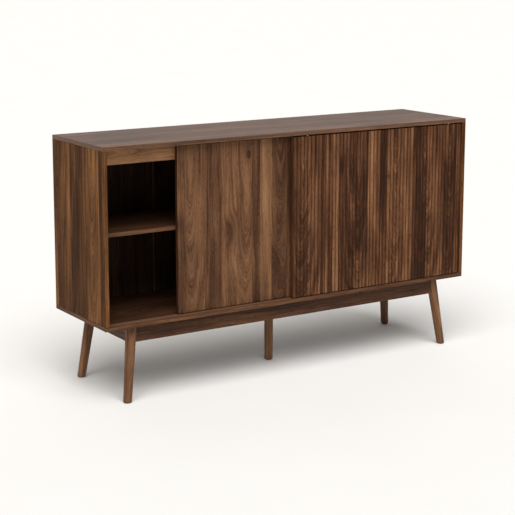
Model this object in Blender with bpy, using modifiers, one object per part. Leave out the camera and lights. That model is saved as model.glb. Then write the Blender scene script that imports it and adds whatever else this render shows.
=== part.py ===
"""Walnut-look sideboard with two bypass sliding doors, one plain and one fluted.

X is the width with +X to the right, -Y is the front and +Z is up.  The origin is
on the floor, under the middle of the body.  All lengths are in metres.
"""
import math

import bmesh
import bpy
from mathutils import Vector

# Overall size and board stock
WIDTH = 1.600
DEPTH = 0.400
HEIGHT = 0.910
LEG_HEIGHT = 0.270
BOARD = 0.015
BACK_BOARD = 0.003
GAP = 0.0003
EDGE_ROUND = 0.0007

# Doors: both are the same width and height, and pass each other in two tracks
FLUTE_COUNT = 50
FLUTE_PITCH = 0.0161
FLUTE_DEPTH = 0.004
FLUTE_STEPS = 6
RIB_ROUNDNESS = 0.7
DOOR_WIDTH = FLUTE_COUNT * FLUTE_PITCH
FLAT_DOOR_THICK = 0.015
FLUTED_DOOR_THICK = 0.018
FRONT_SETBACK = 0.002
DOOR_SPACING = 0.005
DOOR_SIDE_GAP = 0.002
DOOR_BOTTOM_GAP = 0.003
DOOR_TOP_GAP = 0.005
FLAT_DOOR_LEFT = -0.500

# Track profiles, let into the top and bottom panels
TRACK_FRONT = 0.0055
TRACK_WIDTH = 0.0345
LOWER_TRACK_HEIGHT = 0.007
UPPER_TRACK_HEIGHT = 0.010
ROLLER_GROOVE_WIDTH = 0.005
GUIDE_GROOVE_WIDTH = 0.006
LOWER_GROOVE_DEPTH = 0.0033
UPPER_GROOVE_DEPTH = 0.009

# Door rollers and guides
WHEEL_RADIUS = 0.010
WHEEL_WIDTH = 0.004
WHEEL_BELOW_DOOR = 0.006
WHEEL_CHAMFER = 0.0006
WHEEL_SIDE_CLEARANCE = 0.0005
WHEEL_TOP_CLEARANCE = 0.002
STUB_RADIUS = 0.0015
STUB_LENGTH = 0.0013
STUB_HOLE_RADIUS = 0.00175
HOUSING_LENGTH = 0.036
HOUSING_THICK = 0.008
HOUSING_HEIGHT = 0.022
HOUSING_SLOT_LENGTH = 0.024
GUIDE_LENGTH = 0.030
GUIDE_THICK = 0.006
GUIDE_HEIGHT = 0.012
GUIDE_BEHIND_COVES = 0.0045
GUIDE_PIN_RADIUS = 0.0025
GUIDE_PIN_HEIGHT = 0.009
GUIDE_PIN_CHAMFER = 0.0006
GUIDE_PIN_ROOT = 0.004
FITTING_INSET = 0.065

# Inside of the body
RAIL_SETBACK = 0.045
TOP_RAIL_HEIGHT = 0.055
SHELF_TOP = 0.6045
SHELF_DEPTH = 0.335
SHELF_SIDE_GAP = 0.001
NOTCH_REACH = 0.0035
NOTCH_HALF_WIDTH = 0.006
NOTCH_HEIGHT = 0.0025
BACK_INSET = 0.012
BACK_GROOVE_DEPTH = 0.0045
BACK_TONGUE = 0.004
FOLD_CUT = 0.0012
PIN_RADIUS = 0.0025
PIN_COLLAR_RADIUS = 0.004
PIN_COLLAR_THICK = 0.001
PIN_OUTSIDE = 0.008
PIN_HOLE_DEPTH = 0.0065
PIN_HOLE_PITCH = 0.032
PIN_FRONT_Y = -0.105
PIN_BACK_Y = 0.130

# Base frame and legs
BASE_RAIL_HEIGHT = 0.060
BASE_RAIL_THICK = 0.022
FRONT_RAIL_INSET = 0.030
SIDE_RAIL_INSET = 0.105
LEG_TOP_INSET = (0.122, 0.046)
LEG_FOOT_INSET = (0.088, 0.017)
LEG_TOP_RADIUS = 0.020
LEG_FOOT_RADIUS = 0.0152
CENTRE_LEG_TOP_RADIUS = 0.0178
CENTRE_LEG_FOOT_RADIUS = 0.0160
LEG_SPARE = 0.020
STRETCHER_WIDTH = 0.070
STRETCHER_THICK = 0.022
GLIDE_RADIUS = 0.0115
GLIDE_THICK = 0.003
GLIDE_CHAMFER = 0.001
BLOCK_NEAR = 0.032
BLOCK_FAR = 0.078
BLOCK_HEIGHT = 0.040
BOLT_RADIUS = 0.004
BOLT_CLEARANCE = 0.0004
BOLT_HEAD_RADIUS = 0.0075
BOLT_HEAD_THICK = 0.006
BOLT_LENGTH = 0.055
CENTRE_BOLT_LENGTH = 0.040
ROUND_STEPS = 24
SMALL_ROUND_STEPS = 12

# Heights and planes worked out from the sizes above
FLOOR_Z = LEG_HEIGHT + BOARD
CEILING_Z = HEIGHT - BOARD
INNER_X = WIDTH / 2 - BOARD
FRONT_Y = -DEPTH / 2
BACK_Y = DEPTH / 2
DIVIDER_X = BOARD / 2
FLUTED_FRONT_Y = FRONT_Y + FRONT_SETBACK
FLUTED_BACK_Y = FLUTED_FRONT_Y + FLUTED_DOOR_THICK
FLAT_FRONT_Y = FLUTED_BACK_Y + DOOR_SPACING
FLAT_BACK_Y = FLAT_FRONT_Y + FLAT_DOOR_THICK
FRONT_TRACK_Y = (FLUTED_FRONT_Y + FLUTE_DEPTH + FLUTED_BACK_Y) / 2
REAR_TRACK_Y = (FLAT_FRONT_Y + FLAT_BACK_Y) / 2
FRONT_GUIDE_Y = FLUTED_FRONT_Y + FLUTE_DEPTH + GUIDE_BEHIND_COVES
DOOR_BOTTOM_Z = FLOOR_Z + DOOR_BOTTOM_GAP
DOOR_TOP_Z = CEILING_Z - DOOR_TOP_GAP
WHEEL_Z = DOOR_BOTTOM_Z - WHEEL_BELOW_DOOR + WHEEL_RADIUS
INNER_FRONT_Y = FRONT_Y + RAIL_SETBACK
BACK_PANEL_FRONT_Y = BACK_Y - BACK_INSET - BACK_BOARD


def clear_scene():
    """Remove every object, so that the script gives the same result each run."""
    for item in list(bpy.data.objects):
        bpy.data.objects.remove(item, do_unlink=True)


def new_collection(name):
    """Make a collection under the scene's own."""
    collection = bpy.data.collections.new(name)
    bpy.context.scene.collection.children.link(collection)
    return collection


def finish(name, color, roughness, metallic=0.0):
    """Principled material with one colour, roughness and metallic value."""
    made = bpy.data.materials.new(name)
    made.use_nodes = True
    shader = made.node_tree.nodes["Principled BSDF"]
    shader.inputs["Base Color"].default_value = (*color, 1.0)
    shader.inputs["Roughness"].default_value = roughness
    shader.inputs["Metallic"].default_value = metallic
    return made


clear_scene()
PARTS = new_collection("sideboard")
CUTTERS = new_collection("cutters")

WALNUT = finish("walnut_laminate", (0.110, 0.058, 0.031), 0.50)
WALNUT_FLUTED = finish("walnut_fluted", (0.095, 0.045, 0.023), 0.50)
WALNUT_BASE = finish("walnut_solid", (0.125, 0.062, 0.032), 0.45)
BLOCK_WOOD = finish("rubberwood", (0.450, 0.300, 0.170), 0.60)
BACK_WOOD = finish("walnut_back_board", (0.080, 0.042, 0.024), 0.65)
TRACK_PLASTIC = finish("brown_track_plastic", (0.070, 0.036, 0.020), 0.45)
ROLLER_PLASTIC = finish("roller_plastic", (0.020, 0.020, 0.020), 0.40)
GUIDE_PLASTIC = finish("guide_plastic", (0.600, 0.590, 0.550), 0.45)
STEEL = finish("zinc_steel", (0.560, 0.570, 0.580), 0.35, 1.0)
GLIDE_PLASTIC = finish("glide_plastic", (0.030, 0.022, 0.018), 0.60)


def put_in(piece, material, is_cutter):
    """Link a piece to its collection, and give it its material or its cutter display."""
    if is_cutter:
        CUTTERS.objects.link(piece)
        piece.hide_render = True
        piece.display_type = "WIRE"
    else:
        PARTS.objects.link(piece)
        piece.data.materials.append(material)
    return piece


def box(name, low, high, material=None, rounded=0.0, is_cutter=False):
    """Box between two corners, with its origin at its centre."""
    low, high = Vector(low), Vector(high)
    mesh = bpy.data.meshes.new(name)
    shape = bmesh.new()
    bmesh.ops.create_cube(shape, size=1.0)
    bmesh.ops.scale(shape, vec=high - low, verts=shape.verts)
    shape.to_mesh(mesh)
    shape.free()
    piece = bpy.data.objects.new(name, mesh)
    piece.location = (low + high) / 2
    put_in(piece, material, is_cutter)
    if rounded:
        edges = piece.modifiers.new("edges", "BEVEL")
        edges.width = rounded
        edges.segments = 1
    return piece


def turned(name, profile, material=None, location=(0, 0, 0), along=(0, 0, 1), is_cutter=False,
           steps=ROUND_STEPS):
    """Turned piece: a profile of (radius, height) points, listed from the top down."""
    mesh = bpy.data.meshes.new(name)
    points = [(radius, 0.0, height) for radius, height in profile]
    mesh.from_pydata(points, [(i, i + 1) for i in range(len(points) - 1)], [])
    piece = bpy.data.objects.new(name, mesh)
    piece.location = location
    piece.rotation_mode = "QUATERNION"
    piece.rotation_quaternion = Vector(along).to_track_quat("Z", "Y")
    lathe = piece.modifiers.new("lathe", "SCREW")
    lathe.axis = "Z"
    lathe.angle = math.tau
    lathe.steps = steps
    lathe.render_steps = steps
    lathe.use_merge_vertices = True
    lathe.merge_threshold = 0.00005
    return put_in(piece, material, is_cutter)


def extruded(name, outline, length, material, location, rotation):
    """Outline carried along its normal: a filled flat curve, made a mesh so it can be cut."""
    flat = bpy.data.curves.new(name, "CURVE")
    flat.dimensions = "2D"
    flat.fill_mode = "BOTH"
    flat.extrude = length / 2
    line = flat.splines.new("POLY")
    line.points.add(len(outline) - 1)
    for point, (across, up) in zip(line.points, outline):
        point.co = (across, up, 0.0, 1.0)
    line.use_cyclic_u = True
    carrier = bpy.data.objects.new(name + "_outline", flat)
    CUTTERS.objects.link(carrier)
    bpy.context.view_layer.update()
    graph = bpy.context.evaluated_depsgraph_get()
    mesh = bpy.data.meshes.new_from_object(carrier.evaluated_get(graph))
    bpy.data.objects.remove(carrier, do_unlink=True)
    shape = bmesh.new()
    shape.from_mesh(mesh)
    bmesh.ops.remove_doubles(shape, verts=shape.verts, dist=0.00001)
    bmesh.ops.recalc_face_normals(shape, faces=shape.faces)
    shape.to_mesh(mesh)
    shape.free()
    mesh.name = name
    piece = bpy.data.objects.new(name, mesh)
    piece.location = location
    piece.rotation_euler = rotation
    return put_in(piece, material, False)


def cut(piece, cutter, operation="DIFFERENCE"):
    """Exact Boolean between a piece and a cutter."""
    step = piece.modifiers.new(cutter.name, "BOOLEAN")
    step.operation = operation
    step.object = cutter
    step.solver = "EXACT"
    return piece


def add_panels():
    """Top, bottom and side panels, grooved for the back and recessed for the tracks."""
    track_low = FRONT_Y + TRACK_FRONT - GAP
    track_high = FRONT_Y + TRACK_FRONT + TRACK_WIDTH + GAP
    groove_low = BACK_PANEL_FRONT_Y - GAP
    groove_high = BACK_PANEL_FRONT_Y + BACK_BOARD + GAP
    groove_x = INNER_X + BACK_GROOVE_DEPTH

    top = box("top_panel", (-WIDTH / 2, FRONT_Y, CEILING_Z), (WIDTH / 2, BACK_Y, HEIGHT),
              WALNUT, EDGE_ROUND)
    recess = box("cut_upper_recess", (-INNER_X, track_low, CEILING_Z - BOARD),
                 (INNER_X, track_high, CEILING_Z + UPPER_TRACK_HEIGHT + GAP), is_cutter=True)
    groove = box("cut_top_groove", (-groove_x, groove_low, CEILING_Z - BOARD),
                 (groove_x, groove_high, CEILING_Z + BACK_GROOVE_DEPTH), is_cutter=True)
    cut(top, recess)
    cut(top, groove)

    bottom = box("bottom_panel", (-WIDTH / 2, FRONT_Y, LEG_HEIGHT), (WIDTH / 2, BACK_Y, FLOOR_Z),
                 WALNUT, EDGE_ROUND)
    recess = box("cut_lower_recess", (-INNER_X, track_low, FLOOR_Z - LOWER_TRACK_HEIGHT - GAP),
                 (INNER_X, track_high, FLOOR_Z + BOARD), is_cutter=True)
    groove = box("cut_bottom_groove", (-groove_x, groove_low, FLOOR_Z - BACK_GROOVE_DEPTH),
                 (groove_x, groove_high, FLOOR_Z + BOARD), is_cutter=True)
    cut(bottom, recess)
    cut(bottom, groove)

    for side, name in ((-1, "left_side_panel"), (1, "right_side_panel")):
        near, far = sorted((side * INNER_X, side * WIDTH / 2))
        panel = box(name, (near, FRONT_Y, FLOOR_Z + GAP), (far, BACK_Y, CEILING_Z - GAP),
                    WALNUT, EDGE_ROUND)
        near, far = sorted((side * (INNER_X - BOARD), side * groove_x))
        groove = box("cut_groove_" + name, (near, groove_low, LEG_HEIGHT),
                     (far, groove_high, HEIGHT), is_cutter=True)
        cut(panel, groove)
        cut(panel, pin_holes(name, side * INNER_X, side))


def pin_holes(owner, face_x, direction):
    """One cutter with three shelf-pin holes in each of two columns, going into a face."""
    shape = bmesh.new()
    depth = PIN_HOLE_DEPTH
    for y in (PIN_FRONT_Y, PIN_BACK_Y):
        for row in (-1, 0, 1):
            made = bmesh.ops.create_cone(
                shape, cap_ends=True, segments=SMALL_ROUND_STEPS, depth=2 * depth,
                radius1=PIN_RADIUS + GAP, radius2=PIN_RADIUS + GAP)
            bmesh.ops.rotate(shape, verts=made["verts"], cent=(0, 0, 0),
                             matrix=Vector((1, 0, 0)).to_track_quat("Z", "Y").to_matrix())
            z = pin_height() + row * PIN_HOLE_PITCH
            bmesh.ops.translate(shape, verts=made["verts"], vec=(0, y, z))
    name = "cut_pin_holes_" + owner + ("_right" if direction > 0 else "_left")
    mesh = bpy.data.meshes.new(name)
    shape.to_mesh(mesh)
    shape.free()
    holes = bpy.data.objects.new(name, mesh)
    holes.location = (face_x, 0, 0)
    return put_in(holes, None, True)


def pin_height():
    """Height of the shelf pins' axes: the shelf lies on them."""
    return SHELF_TOP - BOARD - GAP - PIN_RADIUS


def add_divider_and_rails():
    """Centre divider, and the two stretchers behind the doors' top edge."""
    divider = box("centre_divider", (-DIVIDER_X, INNER_FRONT_Y, FLOOR_Z + GAP),
                  (DIVIDER_X, BACK_PANEL_FRONT_Y - GAP, CEILING_Z - GAP), WALNUT, EDGE_ROUND)
    cut(divider, pin_holes("divider", -DIVIDER_X, -1))
    cut(divider, pin_holes("divider", DIVIDER_X, 1))
    for side, name in ((-1, "left_top_rail"), (1, "right_top_rail")):
        near, far = sorted((side * (DIVIDER_X + GAP), side * (INNER_X - GAP)))
        box(name, (near, INNER_FRONT_Y, CEILING_Z - TOP_RAIL_HEIGHT),
            (far, INNER_FRONT_Y + BOARD, CEILING_Z - GAP), WALNUT, EDGE_ROUND)


def add_shelves():
    """A loose shelf in each half, lying on four steel pins."""
    profile = ((0, PIN_OUTSIDE), (PIN_RADIUS, PIN_OUTSIDE), (PIN_RADIUS, PIN_COLLAR_THICK),
               (PIN_COLLAR_RADIUS, PIN_COLLAR_THICK), (PIN_COLLAR_RADIUS, 0.0),
               (PIN_RADIUS, 0.0), (PIN_RADIUS, -PIN_HOLE_DEPTH + GAP), (0, -PIN_HOLE_DEPTH + GAP))
    for side, half in ((-1, "left"), (1, "right")):
        near, far = sorted((side * (DIVIDER_X + SHELF_SIDE_GAP), side * (INNER_X - SHELF_SIDE_GAP)))
        shelf = box(half + "_shelf", (near, INNER_FRONT_Y, SHELF_TOP - BOARD),
                    (far, INNER_FRONT_Y + SHELF_DEPTH, SHELF_TOP), WALNUT, EDGE_ROUND)
        for y, where in ((PIN_FRONT_Y, "front"), (PIN_BACK_Y, "back")):
            for face_x, inward, end in ((side * INNER_X, -side, "outer"),
                                        (side * DIVIDER_X, side, "inner")):
                turned(f"{half}_shelf_pin_{where}_{end}", profile, STEEL,
                       (face_x + inward * GAP, y, pin_height()), (inward, 0, 0),
                       steps=SMALL_ROUND_STEPS)
                notch = box(f"cut_notch_{half}_{where}_{end}",
                            (face_x - NOTCH_REACH, y - NOTCH_HALF_WIDTH, SHELF_TOP - 2 * BOARD),
                            (face_x + NOTCH_REACH, y + NOTCH_HALF_WIDTH,
                             SHELF_TOP - BOARD + NOTCH_HEIGHT), is_cutter=True)
                cut(shelf, notch)


def add_back_panels():
    """Two hardboard backs, each scored down its middle where it folds to fit its carton."""
    low_z = FLOOR_Z - BACK_TONGUE
    high_z = CEILING_Z + BACK_TONGUE
    for side, name in ((-1, "left_back_panel"), (1, "right_back_panel")):
        near, far = sorted((side * GAP, side * (INNER_X + BACK_TONGUE)))
        back = box(name, (near, BACK_PANEL_FRONT_Y, low_z),
                   (far, BACK_PANEL_FRONT_Y + BACK_BOARD, high_z), BACK_WOOD)
        score = box("cut_fold_" + name, (-FOLD_CUT, -FOLD_CUT, -HEIGHT), (FOLD_CUT, FOLD_CUT, HEIGHT),
                    is_cutter=True)
        score.location = (side * WIDTH / 4, BACK_PANEL_FRONT_Y, HEIGHT / 2)
        score.rotation_euler = (0, 0, math.radians(45))
        cut(back, score)


def track_outline(height, groove_depth, facing, grooves, groove_width):
    """Track section across its width, with a groove for each door at the places given."""
    corners = [(-TRACK_WIDTH / 2, -facing * height / 2), (-TRACK_WIDTH / 2, facing * height / 2)]
    middle = FRONT_Y + TRACK_FRONT + TRACK_WIDTH / 2
    for groove_y in grooves:
        near = groove_y - middle - groove_width / 2
        far = near + groove_width
        mouth = facing * height / 2
        floor = facing * (height / 2 - groove_depth)
        corners += [(near, mouth), (near, floor), (far, floor), (far, mouth)]
    corners += [(TRACK_WIDTH / 2, facing * height / 2), (TRACK_WIDTH / 2, -facing * height / 2)]
    return corners


def add_tracks():
    """Two moulded track strips, flush with the panels that they are let into."""
    middle_y = FRONT_Y + TRACK_FRONT + TRACK_WIDTH / 2
    length = 2 * (INNER_X - GAP)
    across = (math.radians(90), 0, math.radians(90))
    lower = track_outline(LOWER_TRACK_HEIGHT, LOWER_GROOVE_DEPTH, 1,
                          (FRONT_TRACK_Y, REAR_TRACK_Y), ROLLER_GROOVE_WIDTH)
    upper = track_outline(UPPER_TRACK_HEIGHT, UPPER_GROOVE_DEPTH, -1,
                          (FRONT_GUIDE_Y, REAR_TRACK_Y), GUIDE_GROOVE_WIDTH)
    extruded("lower_track", lower, length, TRACK_PLASTIC,
             (0, middle_y, FLOOR_Z - LOWER_TRACK_HEIGHT / 2), across)
    extruded("upper_track", upper, length, TRACK_PLASTIC,
             (0, middle_y, CEILING_Z + UPPER_TRACK_HEIGHT / 2), across)


def fluted_panel(name, location, height):
    """Door of round ribs between coves: its section is a sheet, and the sheet is thickened.

    The sheet lies level.  Its front edge is the wave of the ribs, and its back edge is the
    same line drawn out to the flat back.
    """
    sheet = bmesh.new()
    line = []
    for index in range(FLUTE_COUNT * FLUTE_STEPS + 1):
        across = index / FLUTE_STEPS
        rib = abs(math.sin(math.pi * across))
        x = -DOOR_WIDTH / 2 + across * FLUTE_PITCH
        line.append(sheet.verts.new((x, FLUTE_DEPTH * (1 - rib ** RIB_ROUNDNESS), 0)))
    for left, right in zip(line, line[1:]):
        sheet.edges.new((left, right))
    drawn = bmesh.ops.extrude_edge_only(sheet, edges=sheet.edges[:])
    for item in drawn["geom"]:
        if isinstance(item, bmesh.types.BMVert):
            item.co.y = FLUTED_DOOR_THICK
    bmesh.ops.recalc_face_normals(sheet, faces=sheet.faces)
    mesh = bpy.data.meshes.new(name)
    sheet.to_mesh(mesh)
    sheet.free()
    panel = bpy.data.objects.new(name, mesh)
    panel.location = location
    thicken = panel.modifiers.new("height", "SOLIDIFY")
    thicken.thickness = height
    thicken.offset = 0.0
    return put_in(panel, WALNUT_FLUTED, False)


def door_pockets(panel, owner, left_x, track_y, guide_y):
    """Cut the pockets for the rollers in the bottom edge and the guides in the top edge."""
    for x, end in ((left_x + FITTING_INSET, "left"),
                   (left_x + DOOR_WIDTH - FITTING_INSET, "right")):
        half = HOUSING_LENGTH / 2 + GAP
        deep = HOUSING_THICK / 2 + GAP
        roller = box(f"cut_{owner}_{end}_roller", (x - half, track_y - deep, DOOR_BOTTOM_Z - BOARD),
                     (x + half, track_y + deep, DOOR_BOTTOM_Z + HOUSING_HEIGHT + GAP),
                     is_cutter=True)
        half = GUIDE_LENGTH / 2 + GAP
        deep = GUIDE_THICK / 2 + GAP
        guide = box(f"cut_{owner}_{end}_guide", (x - half, guide_y - deep,
                                                 DOOR_TOP_Z - GUIDE_HEIGHT - GAP),
                    (x + half, guide_y + deep, DOOR_TOP_Z + BOARD), is_cutter=True)
        cut(panel, roller)
        cut(panel, guide)


def wheel_profile():
    """Grooved-track wheel with its stub axles moulded on."""
    half = WHEEL_WIDTH / 2
    tip = half + STUB_LENGTH
    rim = WHEEL_RADIUS - WHEEL_CHAMFER
    tread = half - WHEEL_CHAMFER
    return ((0, tip), (STUB_RADIUS, tip), (STUB_RADIUS, half), (rim, half), (WHEEL_RADIUS, tread),
            (WHEEL_RADIUS, -tread), (rim, -half), (STUB_RADIUS, -half), (STUB_RADIUS, -tip),
            (0, -tip))


def guide_pin_profile():
    """Round pin that stands on a guide, with a chamfered tip and a root inside the body."""
    shoulder = GUIDE_PIN_HEIGHT - GUIDE_PIN_CHAMFER
    return ((0, GUIDE_PIN_HEIGHT), (GUIDE_PIN_RADIUS - GUIDE_PIN_CHAMFER, GUIDE_PIN_HEIGHT),
            (GUIDE_PIN_RADIUS, shoulder), (GUIDE_PIN_RADIUS, -GUIDE_PIN_ROOT), (0, -GUIDE_PIN_ROOT))


def add_fittings(owner, left_x, track_y, guide_y):
    """Two rollers under a door and two guides on top, each pair near the door's ends."""
    body = HOUSING_THICK / 2
    for x, end in ((left_x + FITTING_INSET, "left"),
                   (left_x + DOOR_WIDTH - FITTING_INSET, "right")):
        housing = box(f"{owner}_{end}_roller_housing",
                      (x - HOUSING_LENGTH / 2, track_y - body, DOOR_BOTTOM_Z),
                      (x + HOUSING_LENGTH / 2, track_y + body, DOOR_BOTTOM_Z + HOUSING_HEIGHT),
                      ROLLER_PLASTIC)
        slot_half = WHEEL_WIDTH / 2 + WHEEL_SIDE_CLEARANCE
        slot = box(f"cut_{owner}_{end}_slot",
                   (x - HOUSING_SLOT_LENGTH / 2, track_y - slot_half, DOOR_BOTTOM_Z - BOARD),
                   (x + HOUSING_SLOT_LENGTH / 2, track_y + slot_half,
                    WHEEL_Z + WHEEL_RADIUS + WHEEL_TOP_CLEARANCE), is_cutter=True)
        bearing = turned(f"cut_{owner}_{end}_bearing",
                         ((0, BOARD), (STUB_HOLE_RADIUS, BOARD), (STUB_HOLE_RADIUS, -BOARD),
                          (0, -BOARD)), None, (x, track_y, WHEEL_Z), (0, 1, 0), is_cutter=True)
        cut(housing, slot)
        cut(housing, bearing)
        turned(f"{owner}_{end}_wheel", wheel_profile(), ROLLER_PLASTIC,
               (x, track_y, WHEEL_Z), (0, 1, 0))
        guide = box(f"{owner}_{end}_guide",
                    (x - GUIDE_LENGTH / 2, guide_y - GUIDE_THICK / 2, DOOR_TOP_Z - GUIDE_HEIGHT),
                    (x + GUIDE_LENGTH / 2, guide_y + GUIDE_THICK / 2, DOOR_TOP_Z), GUIDE_PLASTIC)
        pin = turned(f"add_{owner}_{end}_guide_pin", guide_pin_profile(), None,
                     (x, guide_y, DOOR_TOP_Z), is_cutter=True)
        cut(guide, pin, "UNION")


def add_doors():
    """Plain door in the rear track and fluted door in the front track."""
    left = FLAT_DOOR_LEFT
    flat = box("flat_door_panel", (left, FLAT_FRONT_Y, DOOR_BOTTOM_Z),
               (left + DOOR_WIDTH, FLAT_BACK_Y, DOOR_TOP_Z), WALNUT, EDGE_ROUND)
    door_pockets(flat, "flat_door", left, REAR_TRACK_Y, REAR_TRACK_Y)
    add_fittings("flat_door", left, REAR_TRACK_Y, REAR_TRACK_Y)

    left = INNER_X - DOOR_SIDE_GAP - DOOR_WIDTH
    middle = (left + DOOR_WIDTH / 2, FLUTED_FRONT_Y, (DOOR_BOTTOM_Z + DOOR_TOP_Z) / 2)
    fluted = fluted_panel("fluted_door_panel", middle, DOOR_TOP_Z - DOOR_BOTTOM_Z)
    door_pockets(fluted, "fluted_door", left, FRONT_TRACK_Y, FRONT_GUIDE_Y)
    add_fittings("fluted_door", left, FRONT_TRACK_Y, FRONT_GUIDE_Y)


def leg_axis(side, end):
    """Foot and top of a corner leg's centre line."""
    foot = Vector((side * (WIDTH / 2 - LEG_FOOT_INSET[0]), end * (DEPTH / 2 - LEG_FOOT_INSET[1]), 0))
    top = Vector((side * (WIDTH / 2 - LEG_TOP_INSET[0]), end * (DEPTH / 2 - LEG_TOP_INSET[1]),
                  LEG_HEIGHT))
    return foot, top


def leg_profile(length, foot_radius, top_radius, extra):
    """Straight taper carried past both ends by a spare length, which is sawn off level."""
    slope = (top_radius - foot_radius) / length
    high = top_radius + slope * LEG_SPARE + extra
    low = foot_radius - slope * LEG_SPARE + extra
    return ((0, length + LEG_SPARE), (high, length + LEG_SPARE), (low, -LEG_SPARE),
            (0, -LEG_SPARE))


def add_legs():
    """Four splayed, tapered corner legs with level ends, and an upright leg in the middle."""
    level = box("cut_leg_level", (-WIDTH, -DEPTH, GLIDE_THICK), (WIDTH, DEPTH, LEG_HEIGHT - GAP),
                is_cutter=True)
    for side, hand in ((-1, "left"), (1, "right")):
        for end, face in ((-1, "front"), (1, "back")):
            foot, top = leg_axis(side, end)
            along = top - foot
            profile = leg_profile(along.length, LEG_FOOT_RADIUS, LEG_TOP_RADIUS, 0.0)
            leg = turned(f"{face}_{hand}_leg", profile, WALNUT_BASE, foot, along)
            cut(leg, level, "INTERSECT")
            cut(leg, bolt_hole(side, end, f"{face}_{hand}"))
            add_glide(f"{face}_{hand}_glide", foot.x, foot.y)
    top_z = LEG_HEIGHT - STRETCHER_THICK - 2 * GAP
    hole_top = top_z + STRETCHER_THICK / 2
    centre = turned("centre_leg", ((0, top_z), (CENTRE_LEG_TOP_RADIUS, top_z),
                                   (CENTRE_LEG_FOOT_RADIUS, GLIDE_THICK), (0, GLIDE_THICK)),
                    WALNUT_BASE)
    clear = BOLT_RADIUS + BOLT_CLEARANCE
    low = hole_top - CENTRE_BOLT_LENGTH
    hole = turned("cut_centre_bolt", ((0, hole_top + GAP), (clear, hole_top + GAP),
                                      (clear, low - GAP), (0, low - GAP)), is_cutter=True)
    cut(centre, hole)
    cut(bpy.data.objects["centre_stretcher"], hole)
    turned("centre_leg_bolt", ((0, hole_top), (BOLT_RADIUS, hole_top), (BOLT_RADIUS, low), (0, low)),
           STEEL)
    add_glide("centre_glide", 0, 0)


def add_glide(name, x, y):
    """Round plastic glide nailed under a foot."""
    high = GLIDE_THICK - GAP
    turned(name, ((0, high), (GLIDE_RADIUS, high), (GLIDE_RADIUS, GLIDE_CHAMFER),
                  (GLIDE_RADIUS - GLIDE_CHAMFER, 0), (0, 0)), GLIDE_PLASTIC, (x, y, 0))


def inner_corner(side, end):
    """Where the inside faces of a side rail and an end rail would meet."""
    x = side * (WIDTH / 2 - SIDE_RAIL_INSET - BASE_RAIL_THICK)
    y = end * (DEPTH / 2 - FRONT_RAIL_INSET - BASE_RAIL_THICK)
    return x, y


def bolt_line(side, end):
    """Start and direction of a leg bolt: from the block's inner face, out to the leg."""
    x, y = inner_corner(side, end)
    middle = BLOCK_FAR / 2 + GAP
    start = Vector((x - side * middle, y - end * middle, LEG_HEIGHT - BLOCK_HEIGHT / 2))
    return start, Vector((side, end, 0)).normalized()


def bolt_hole(side, end, label):
    """Clearance hole along a leg bolt's shank."""
    start, outward = bolt_line(side, end)
    clear = BOLT_RADIUS + BOLT_CLEARANCE
    reach = BOLT_LENGTH + GAP
    return turned("cut_bolt_" + label, ((0, reach), (clear, reach), (clear, -BOARD), (0, -BOARD)),
                  None, start, outward, is_cutter=True)


def add_base():
    """Rails between the legs, a flat stretcher for the middle leg, and bolted corner blocks."""
    low = LEG_HEIGHT - BASE_RAIL_HEIGHT
    high = LEG_HEIGHT - GAP
    cutters = {}
    for side in (-1, 1):
        for end in (-1, 1):
            foot, top = leg_axis(side, end)
            along = top - foot
            profile = leg_profile(along.length, LEG_FOOT_RADIUS, LEG_TOP_RADIUS, GAP)
            cutters[side, end] = turned(f"cut_leg_{side}_{end}", profile, None, foot, along,
                                        is_cutter=True)
    leg_x = WIDTH / 2 - LEG_TOP_INSET[0]
    leg_y = DEPTH / 2 - LEG_TOP_INSET[1]
    for end, face in ((-1, "front"), (1, "back")):
        near, far = sorted((end * (DEPTH / 2 - FRONT_RAIL_INSET),
                            end * (DEPTH / 2 - FRONT_RAIL_INSET - BASE_RAIL_THICK)))
        rail = box(face + "_base_rail", (-leg_x, near, low), (leg_x, far, high),
                   WALNUT_BASE, EDGE_ROUND)
        cut(rail, cutters[-1, end])
        cut(rail, cutters[1, end])
    for side, hand in ((-1, "left"), (1, "right")):
        near, far = sorted((side * (WIDTH / 2 - SIDE_RAIL_INSET),
                            side * (WIDTH / 2 - SIDE_RAIL_INSET - BASE_RAIL_THICK)))
        rail = box(hand + "_base_rail", (near, -leg_y, low), (far, leg_y, high),
                   WALNUT_BASE, EDGE_ROUND)
        cut(rail, cutters[side, -1])
        cut(rail, cutters[side, 1])

    inner_y = inner_corner(1, 1)[1] - GAP
    box("centre_stretcher", (-STRETCHER_WIDTH / 2, -inner_y, high - STRETCHER_THICK),
        (STRETCHER_WIDTH / 2, inner_y, high), WALNUT_BASE, EDGE_ROUND)
    for side, hand in ((-1, "left"), (1, "right")):
        for end, face in ((-1, "front"), (1, "back")):
            add_corner_block(side, end, f"{face}_{hand}")


def add_corner_block(side, end, label):
    """Diagonal block across a corner of the frame, with the bolt that draws the leg home."""
    x, y = inner_corner(side, end)
    near, far = BLOCK_NEAR, BLOCK_FAR
    outline = [(-side * (across + GAP), -end * (up + GAP))
               for across, up in ((near, 0), (far, 0), (0, far), (0, near))]
    block = extruded(label + "_corner_block", outline, BLOCK_HEIGHT - 2 * GAP, BLOCK_WOOD,
                     (x, y, LEG_HEIGHT - BLOCK_HEIGHT / 2), (0, 0, 0))
    start, outward = bolt_line(side, end)
    cut(block, bolt_hole(side, end, label + "_block"))
    head_low = -BOLT_HEAD_THICK - GAP
    turned(label + "_leg_bolt", ((0, BOLT_LENGTH), (BOLT_RADIUS, BOLT_LENGTH), (BOLT_RADIUS, -GAP),
                                 (BOLT_HEAD_RADIUS, -GAP), (BOLT_HEAD_RADIUS, head_low),
                                 (0, head_low)), STEEL, start, outward, steps=SMALL_ROUND_STEPS)


add_panels()
add_divider_and_rails()
add_shelves()
add_back_panels()
add_tracks()
add_doors()
add_base()
add_legs()
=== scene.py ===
import math

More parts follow.
